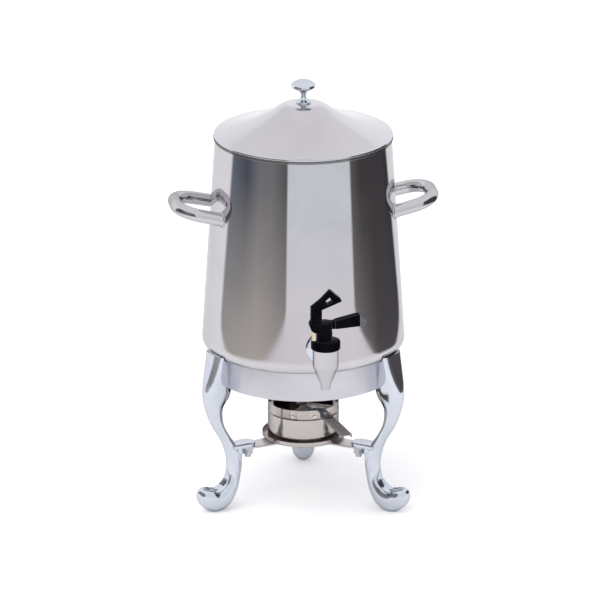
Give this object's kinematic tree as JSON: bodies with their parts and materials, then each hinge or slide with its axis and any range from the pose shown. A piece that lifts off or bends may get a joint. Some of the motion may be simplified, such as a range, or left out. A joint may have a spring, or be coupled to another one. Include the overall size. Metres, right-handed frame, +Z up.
{
  "type": "coffee urn",
  "caption": "Polished steel coffee urn with a loose lid, tube handles and squeeze tap, standing on a ring stand with cast cabriole legs over a spirit burner.",
  "frame": {"origin": "on the table, under the vessel's axis", "axes": "+Z up; the tap points along -Y; the side handles point along +X and -X"},
  "size_m": [0.3404, 0.3465, 0.5486],
  "materials": {
    "polished_steel": "mirror-polished stainless steel",
    "welded_tube": "mirror-polished tube",
    "satin_steel": "satin",
    "burner_steel": "polished, slightly warm",
    "plated_casting": "chrome-plated casting",
    "zinc_fixings": "zinc plated",
    "black_plastic": "glossy black",
    "grey_plastic": "glossy dark grey",
    "brass": "polished",
    "black_rubber": "matt",
    "spring_steel": "drawn wire"
  },
  "bodies": {
    "stand": {"ring_band": "satin_steel", "leg_left": "plated_casting", "leg_right": "plated_casting", "leg_rear": "plated_casting", "leg_screws": "zinc_fixings", "leg_washers": "zinc_fixings", "lug_studs": "zinc_fixings", "lug_washers": "zinc_fixings", "lug_nuts": "zinc_fixings", "burner_tray": "satin_steel", "tray_arm_left": "satin_steel", "tray_arm_right": "satin_steel", "tray_arm_rear": "satin_steel"},
    "urn": {"outer_shell": "polished_steel", "bottom_pan": "satin_steel", "rim_bead": "polished_steel", "handle_left": "welded_tube", "handle_right": "welded_tube", "outer_gasket": "black_rubber", "wall_washer": "plated_casting", "inner_gasket": "black_rubber", "lock_nut": "zinc_fixings", "tap_body": "plated_casting", "bonnet_cap": "black_plastic", "tap_yoke": "black_plastic", "pivot_pin": "zinc_fixings", "brass_post": "brass", "tap_spring": "spring_steel"},
    "lever": {"tap_lever": "black_plastic", "lever_end_cap": "grey_plastic"},
    "valve": {"valve_stem": "zinc_fixings", "seat_cup": "black_rubber", "stem_pin": "zinc_fixings"},
    "lid": {"lid_pan": "polished_steel", "lid_skirt": "polished_steel", "lid_knob": "plated_casting", "knob_washer": "zinc_fixings", "knob_screw": "zinc_fixings"},
    "burner": {"burner_pot": "burner_steel", "burner_collar": "burner_steel", "collar_screw": "zinc_fixings", "brass_stop": "brass", "centre_rivet": "zinc_fixings"},
    "shutter": {"flame_shutter": "satin_steel", "shutter_strap": "satin_steel", "strap_rivets": "zinc_fixings", "strap_grip": "satin_steel"}
  },
  "joints": [
    {"name": "urn_lift", "type": "slide", "parent": "stand", "child": "urn", "axis": [0, 0, 1], "range_m": [0, 0.06]},
    {"name": "lid_lift", "type": "slide", "parent": "urn", "child": "lid", "axis": [0, 0, 1], "range_m": [0, 0.12]},
    {"name": "lever_swing", "type": "hinge", "parent": "urn", "child": "lever", "pos_m": [-0.0115, -0.176, 0.286], "axis": [0, -1, 0], "range_deg": [0, 14], "stiffness_Nm_per_rad": 0.6, "springref_deg": -14.32},
    {"name": "valve_lift", "type": "slide", "parent": "urn", "child": "valve", "axis": [0, 0, 1], "range_m": [0, 0.0029], "deforming": ["tap_spring"]},
    {"name": "burner_lift", "type": "slide", "parent": "stand", "child": "burner", "axis": [0, 0, 1], "range_m": [0, 0.03]},
    {"name": "shutter_turn", "type": "hinge", "parent": "burner", "child": "shutter", "pos_m": [0, 0, 0.1216], "axis": [0, 0, 1], "range_deg": [-60, 20]}
  ],
  "couplings": [
    {"joint": "valve_lift", "follows": "lever_swing", "m_per_rad": 0.0115}
  ]
}
